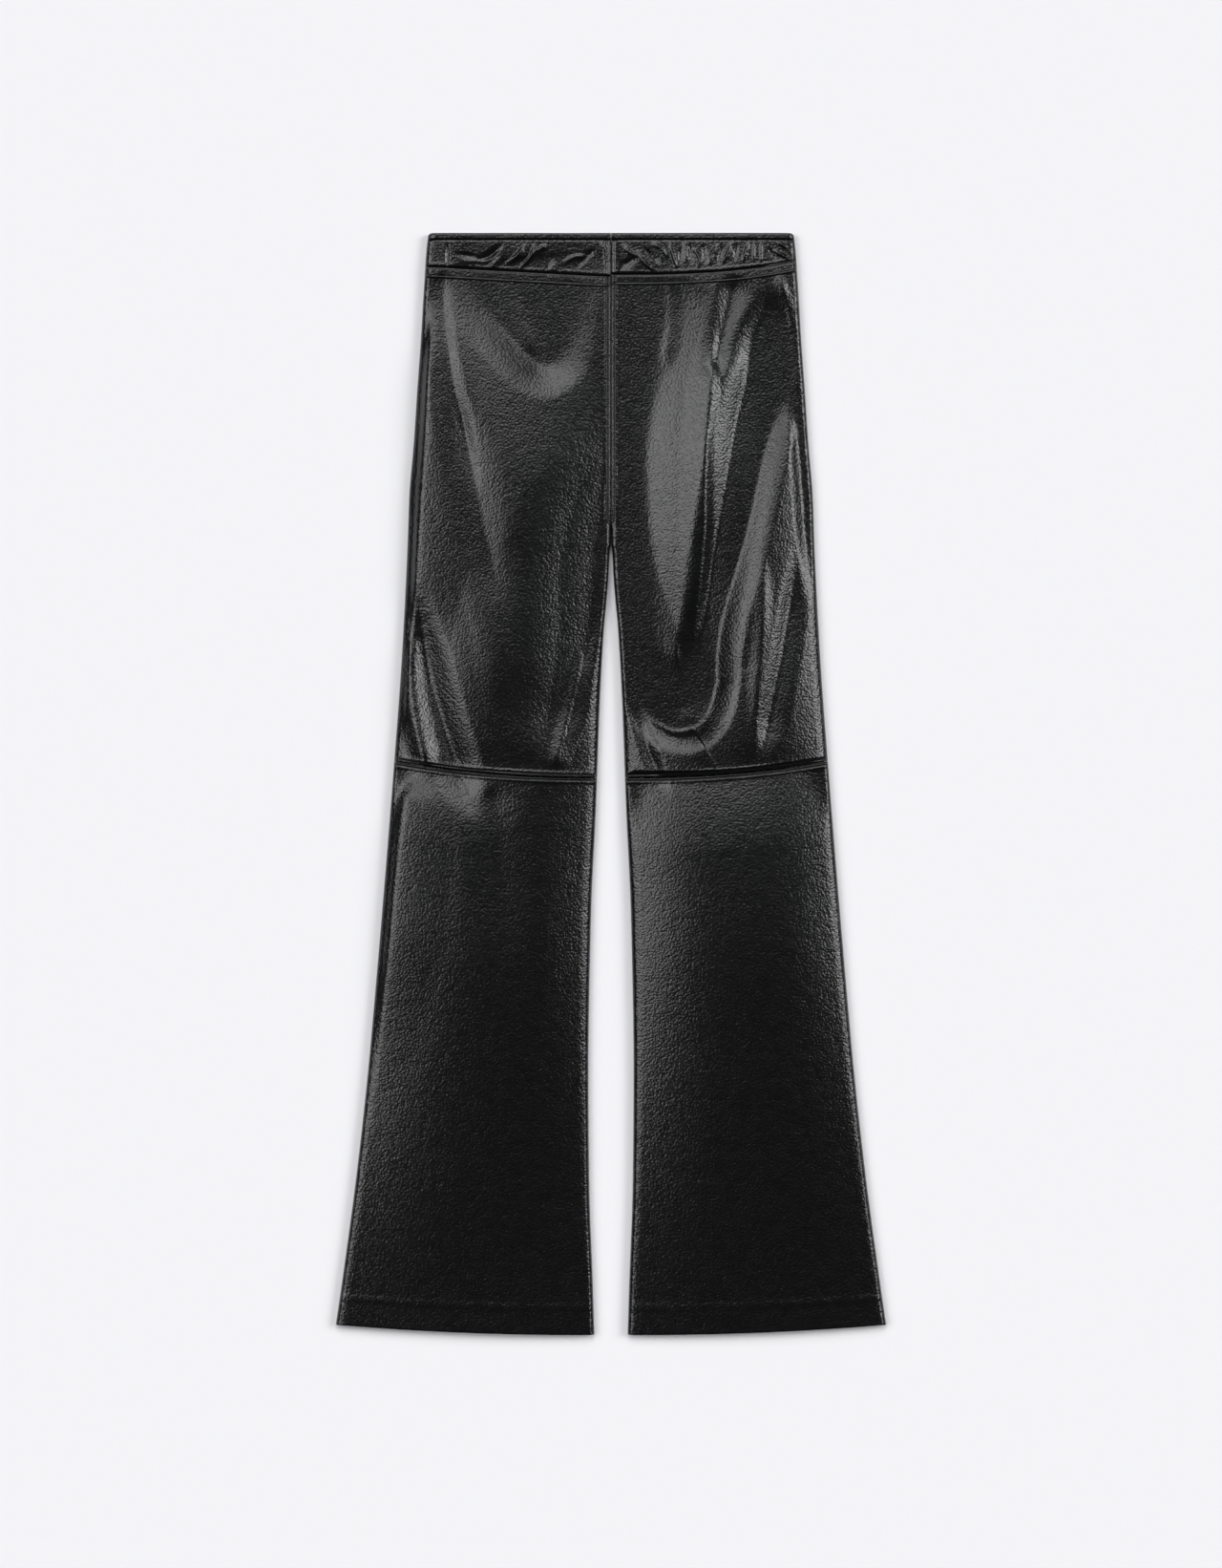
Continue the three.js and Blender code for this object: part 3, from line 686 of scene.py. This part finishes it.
def across(down, column, flat_columns):
    """The distance from the centre line and the drop of each column at each row."""
    inner, outer, turn = inner_edge(down), side_seam(down), turned(down)
    inner_in, inner_drop = rolled(turn, np.clip(column / INNER_COLUMNS, 0, 1))
    start = inner + rolled(turn, 1.0)[0]
    last = INNER_COLUMNS + flat_columns
    outer_in, outer_drop = rolled(1.0, np.clip(1 - (column - last) / OUTER_COLUMNS, 0, 1))
    end = outer - rolled(1.0, 1.0)[0]
    middle = start + (end - start) * (column - INNER_COLUMNS) / flat_columns
    at_inner, at_outer = column < INNER_COLUMNS, column > last
    out = np.where(at_inner, inner + inner_in, np.where(at_outer, outer - outer_in, middle))
    drop = np.where(at_inner, inner_drop, np.where(at_outer, outer_drop, 0))
    share = np.clip((column - INNER_COLUMNS) / flat_columns, 0, 1)
    return out, drop, share


def crowded(length, step, fine_step, fine_top, fine_bottom):
    """Rows from 0 to 1 that are fine near the top and the bottom of a panel of that length."""
    top = np.arange(0, fine_top, fine_step)
    bottom = length - np.arange(0, fine_bottom, fine_step)[::-1]
    low = fine_top if fine_top else 0
    high = length - fine_bottom if fine_bottom else length
    middle = np.linspace(low, high, max(2, round((high - low) / step)))
    rows = np.unique(np.concatenate([[0], top, middle, bottom, [length]]).round(4))
    keep = np.concatenate([[True], np.diff(rows) > fine_step * 0.3])
    rows = rows[keep]
    rows[-1] = length
    return rows / length

# %% [markdown]
# The stitch map of a panel holds, at every point, the distance along the nearest row of stitches and the
# distance from it. The leather's bump reads it to pull the leather down at each needle hole.

# %% The stitch rows of one half
ROW_ENDS = 10.0
NO_ROW = 99.0
MAP_REACH = 9.0


def stitch_rows(side):
    """Each row of stitches of one half: its name, and a function for the distance along it and off it."""
    def below_yoke(offset):
        return lambda out, down, share: (out, down - yoke_line(side, share) - offset)

    def beside_knee(offset):
        return lambda out, down, share: (out, down - knee_line(side, share) - offset)

    def beside_centre(out, down, share):
        return down, out - CENTRE_ROW

    rows = [("yoke", below_yoke(offset)) for offset in YOKE_ROWS]
    rows += [("knee", beside_knee(offset)) for offset in (-KNEE_ROW, KNEE_ROW)]
    return rows + [("centre", beside_centre)]


def stitch_map(side, out, down, share):
    best = np.full(out.shape, NO_ROW)
    along = np.zeros(out.shape)
    for name, measure in stitch_rows(side):
        run, off = measure(out, down, share)
        off = np.abs(off)
        if name == "centre":
            off = np.where((down > CENTRE_ROW_END) | (down < YOKE_DOWN["left"]), NO_ROW, off)
        closer = off < best
        best = np.where(closer, off, best)
        along = np.where(closer, run, along)
    return along, np.minimum(best, MAP_REACH)


print("rows of stitches in each half", len(stitch_rows("left")))

# %% [markdown]
# On the floor side the front layer is flat where it rests. Only its seams are drawn up a little into the
# leather. The wall could be built from faces too, but a Solidify modifier does it in one step. A vertex
# group makes it thicker in the binding and the doubled hem.

# %% Making one panel
WALL = 1.5
THICK_WALL = 2.3
HEM_WALL = THICK_WALL - 0.1
UNDER_SEAM_RISE = 0.45
UNDER_DITCH = 0.9
UNDER_ROW = 0.6
UNDER_EDGE = 2.0
UNDER_SIDE = 4.0


def lower_height(side, out, down, share):
    """How far the seams of the front layer are drawn up from the floor."""
    yoke = down - yoke_line(side, share)
    knee = down - knee_line(side, share)
    ditch = bell(yoke, UNDER_DITCH) + bell(knee, UNDER_DITCH) + bell(out, UNDER_DITCH) * (1 - turned(down))
    rows = sum(bell(yoke - row, UNDER_ROW) for row in YOKE_ROWS) + bell(np.abs(knee) - KNEE_ROW, UNDER_ROW)
    from_inner = out - inner_edge(down) + UNDER_EDGE * (1 - turned(down))
    flat_part = smoothstep(0, UNDER_EDGE, from_inner) * smoothstep(0, UNDER_SIDE, side_seam(down) - out)
    return UNDER_SEAM_RISE * (ditch + rows) * flat_part


def map_panel(bm, side, sign, out, down, drop, share, outer_half):
    """The cut map holds each point's place on the flat leather, and the stitch map its nearest row."""
    cut_map = bm.loops.layers.uv.new("cut")
    stitch_layer = bm.loops.layers.uv.new("stitch")
    along, off = stitch_map(side, out, down, share)
    spread = out + (ROLL_ARC - EDGE_RADIUS) * drop / EDGE_RADIUS * np.where(outer_half, 1, -1)
    bm.verts.index_update()
    for face in bm.faces:
        for loop in face.loops:
            i = loop.vert.index
            loop[cut_map].uv = (sign * spread[i] * MM, down[i] * MM)
            loop[stitch_layer].uv = (along[i] * MM, off[i] * MM)
        face.smooth = True


def give_wall(piece, walls):
    """A wall inwards from the face, as thick at each point as walls says."""
    group = piece.vertex_groups.new(name="wall")
    for thickness in np.unique(walls):
        group.add(np.nonzero(walls == thickness)[0].tolist(), float(thickness / THICK_WALL), "REPLACE")
    shell = piece.modifiers.new("wall", "SOLIDIFY")
    shell.thickness = THICK_WALL * MM
    shell.offset = -1
    shell.vertex_group = "wall"


def make_panel(name, side, layer, upper, lower, rows, flat_columns, wall, lift):
    """One panel between two cutting lines, as a closed wall of leather."""
    columns = INNER_COLUMNS + flat_columns + OUTER_COLUMNS
    bm = bmesh.new()
    bmesh.ops.create_grid(bm, x_segments=columns, y_segments=len(rows) - 1, size=0.5)
    flat = np.array([v.co[:2] for v in bm.verts])
    column = np.rint((flat[:, 0] + 0.5) * columns)
    row = np.rint((flat[:, 1] + 0.5) * (len(rows) - 1)).astype(int)
    share = np.clip((column - INNER_COLUMNS) / flat_columns, 0, 1)
    top, bottom = upper(side, share), lower(side, share)
    down = top + (bottom - top) * rows[row]
    out, drop, share = across(down, column, flat_columns)
    if layer == "back":
        height = upper_height(side, out, down) - drop + lift(down)
    else:
        height = drop + lower_height(side, out, down, share)
    sign = 1 if side == "right" else -1
    place = np.stack([sign * out, LENGTH / 2 - down, height], axis=1) * MM
    for vert, co in zip(bm.verts, place):
        vert.co = co
    bm.normal_update()
    bm.faces.ensure_lookup_table()
    middle = bm.faces[len(bm.faces) // 2]
    if (middle.normal.z > 0) != (layer == "back"):
        bmesh.ops.reverse_faces(bm, faces=bm.faces[:])
    map_panel(bm, side, sign, out, down, drop, share, column > columns / 2)
    mesh = bpy.data.meshes.new(name)
    bm.to_mesh(mesh)
    bm.free()
    mesh.materials.append(leather)
    piece = bpy.data.objects.new(name, mesh)
    bpy.context.scene.collection.objects.link(piece)
    give_wall(piece, wall(side, down, share))
    return piece

# %% [markdown]
# The pieces of each half. The upper ones are fine, with columns 1 to 3 mm apart. The lower ones are
# coarser, because they are flat. The binding is a strip of leather rolled over the top edge: round at the
# edge and proud of the waistband, which sinks a little beside it.

# %% The pieces of one half of one layer
HALF_GAP = SEAM_GAP / 2


def moved(line, by):
    return lambda side, share: line(side, share) + by


def thin(side, down, share):
    return np.full(down.shape, WALL)


def thick(side, down, share):
    return np.full(down.shape, THICK_WALL)


def with_turn_up(side, down, share):
    return np.where(hem_line(side, share) - down < HEM_TURN_UP, HEM_WALL, WALL)


def no_lift(down):
    return 0 * down


def binding_lift(down):
    proud = np.sqrt(smoothstep(0, 2.2, down)) * smoothstep(BINDING_DEPTH + 0.2, BINDING_DEPTH - 1.4, down)
    round_edge = 1 - smoothstep(0, 1.2, down)
    seam = smoothstep(BINDING_DEPTH - 1, BINDING_DEPTH, down)
    return 0.7 * proud - 0.9 * round_edge - 0.3 * seam


def band_lift(down):
    return -0.6 * bell(down - BINDING_DEPTH, 1.0)


def pieces_of(layer):
    """Each piece's name, its two cutting lines, its rows, its flat columns, its wall and its lift."""
    fine = layer == "back"
    binding_rows = np.linspace(0, 1, 13 if fine else 5)
    waistband_rows = crowded(34, 0.9, 0.5, 2, 4) if fine else np.linspace(0, 1, 20)
    thigh_rows = crowded(KNEE_DOWN - 40, 1.9 if fine else 12, 0.45, 12, 7)
    calf_rows = crowded(LENGTH - KNEE_DOWN, 3.0 if fine else 14, 0.45, 7, 2)
    yield ("edge_binding", waist_line, moved(binding_line, -HALF_GAP),
           binding_rows, 120 if fine else 20, thick, binding_lift)
    yield ("waistband", moved(binding_line, HALF_GAP), moved(yoke_line, -HALF_GAP),
           waistband_rows, 200 if fine else 30, thin, band_lift)
    yield ("thigh", moved(yoke_line, HALF_GAP), moved(knee_line, -HALF_GAP),
           thigh_rows, 128 if fine else 24, thin, no_lift)
    yield ("calf", moved(knee_line, HALF_GAP), hem_line,
           calf_rows, 84 if fine else 24, with_turn_up, no_lift)


for name, upper, lower, rows, flat_columns, wall, lift in pieces_of("back"):
    print("back", name, "rows", len(rows), "columns", INNER_COLUMNS + flat_columns + OUTER_COLUMNS)

# %% [markdown]
# The flat area of a cut is its width, row by row, with the length of leather that its rolled edges take up.
# The width and length of each cut are printed beside its panel.

# %% Making all the panels
ROLL_EXTRA = ROLL_ARC - EDGE_RADIUS
AREA_STEPS = 200


def flat_size(side, upper, lower):
    """Width and length of the box round a cut, and its area, in metres."""
    steps = np.linspace(0, 1, AREA_STEPS)
    top, bottom = upper(side, steps), lower(side, steps)
    down = top[:, None] * (1 - steps) + bottom[:, None] * steps
    width = side_seam(down) - inner_edge(down) + ROLL_EXTRA * (1 + turned(down))
    area = (width.mean(axis=1) * (bottom - top)).mean()
    return width.max() * MM, (bottom.max() - top.min()) * MM, area * MM * MM


for layer in ("front", "back"):
    for side in ("left", "right"):
        for piece_name, upper, lower, rows, flat_columns, wall, lift in pieces_of(layer):
            node = f"{layer}_{piece_name}_{side}"
            panel = make_panel("leather_" + node, side, layer, upper, lower, rows, flat_columns, wall, lift)
            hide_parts(node)
            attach(panel, "root")
            width, length, area = flat_size(side, upper, lower)
            print(node, "faces", len(panel.data.polygons), "flat mm", round(width / MM), round(length / MM))

# %% [markdown]
# ## Stitches
# Each stitch is a short bead of thread that dives into the leather at both ends. A picture of stitches would
# not stand up from the leather, so one low bead is made for each. All the beads of a seam are one mesh,
# because the whole garment has well over a thousand of them.

# %% One row of stitches
THREAD_RADIUS = 0.26
STITCH_LENGTH = 1.75
STITCH_PROUD = 0.12
FLOOR_CLEAR = 0.02
ROW_START = 1.0
WIDEST = 400.0
KNEE_ROW_ENDS = 3.0
KNEE_SIDE_RISE = 8.0
YOKE_LEVEL = 40.0
SEAT_ROW_START = 2.5
BAND_ROW_ENDS = (2.0, 1.0)


def row_points(side, name):
    """Runs along each row of the given seam, as pairs of arrays: out and down."""
    if name == "yoke":
        out = np.arange(CENTRE_ROW + ROW_START, WIDEST, STITCH_PITCH)
        share = out / side_seam(np.full(out.shape, YOKE_LEVEL))
        for offset in YOKE_ROWS:
            down = yoke_line(side, share) + offset
            keep = out < side_seam(down) - ROW_ENDS
            yield out[keep], down[keep]
    if name == "knee":
        inner, outer = inner_edge(KNEE_DOWN), side_seam(KNEE_DOWN - KNEE_SIDE_RISE)
        run = np.arange(inner + KNEE_ROW_ENDS, outer - KNEE_ROW_ENDS, STITCH_PITCH)
        for offset in (-KNEE_ROW, KNEE_ROW):
            yield run, knee_line(side, (run - inner) / (outer - inner)) + offset
    if name == "centre":
        run = np.arange(yoke_line(side, 0) + SEAT_ROW_START, CENTRE_ROW_END, STITCH_PITCH)
        yield np.full(run.shape, CENTRE_ROW), run
    if name == "centre" and side == "right":
        first, last = BINDING_DEPTH + BAND_ROW_ENDS[0], yoke_line(side, 0) - BAND_ROW_ENDS[1]
        run = np.arange(first, last, STITCH_PITCH)
        yield np.full(run.shape, CENTRE_ROW), run


def add_stitch(bm, here, step, up):
    """One bead of thread at a point, lying along the row."""
    tangent = Vector(step).normalized()
    side_way = Vector((0, 0, up)).cross(tangent).normalized()
    turn = Matrix((tangent, side_way, tangent.cross(side_way))).transposed().to_4x4()
    size = Matrix.Diagonal((STITCH_LENGTH / 2 * MM, THREAD_RADIUS * MM, THREAD_RADIUS * MM, 1))
    bmesh.ops.create_uvsphere(bm, u_segments=6, v_segments=4, radius=1.0,
                              matrix=Matrix.Translation(Vector(here)) @ turn @ size)


def stitch_mesh(name, side, layer):
    bm = bmesh.new()
    count = 0
    sign = 1 if side == "right" else -1
    up = 1 if layer == "back" else -1
    for out, down in row_points(side, name):
        if layer == "back":
            height = upper_height(side, out, down) + STITCH_PROUD
        else:
            height = np.full(out.shape, THREAD_RADIUS + FLOOR_CLEAR)
        run = np.stack([sign * out, LENGTH / 2 - down, height], axis=1) * MM
        for here, step in zip(run, np.gradient(run, axis=0)):
            add_stitch(bm, here, step, up)
            count += 1
    for face in bm.faces:
        face.smooth = True
    mesh = bpy.data.meshes.new(f"stitches_{layer}_{name}_{side}")
    bm.to_mesh(mesh)
    bm.free()
    mesh.materials.append(thread)
    piece = bpy.data.objects.new(mesh.name, mesh)
    bpy.context.scene.collection.objects.link(piece)
    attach(piece, "root")
    return count

# %% All the rows
stitch_total = 0
for layer in ("back", "front"):
    for side in ("left", "right"):
        for seam in ("yoke", "knee", "centre"):
            stitch_total += stitch_mesh(seam, side, layer)
print("stitches", stitch_total)
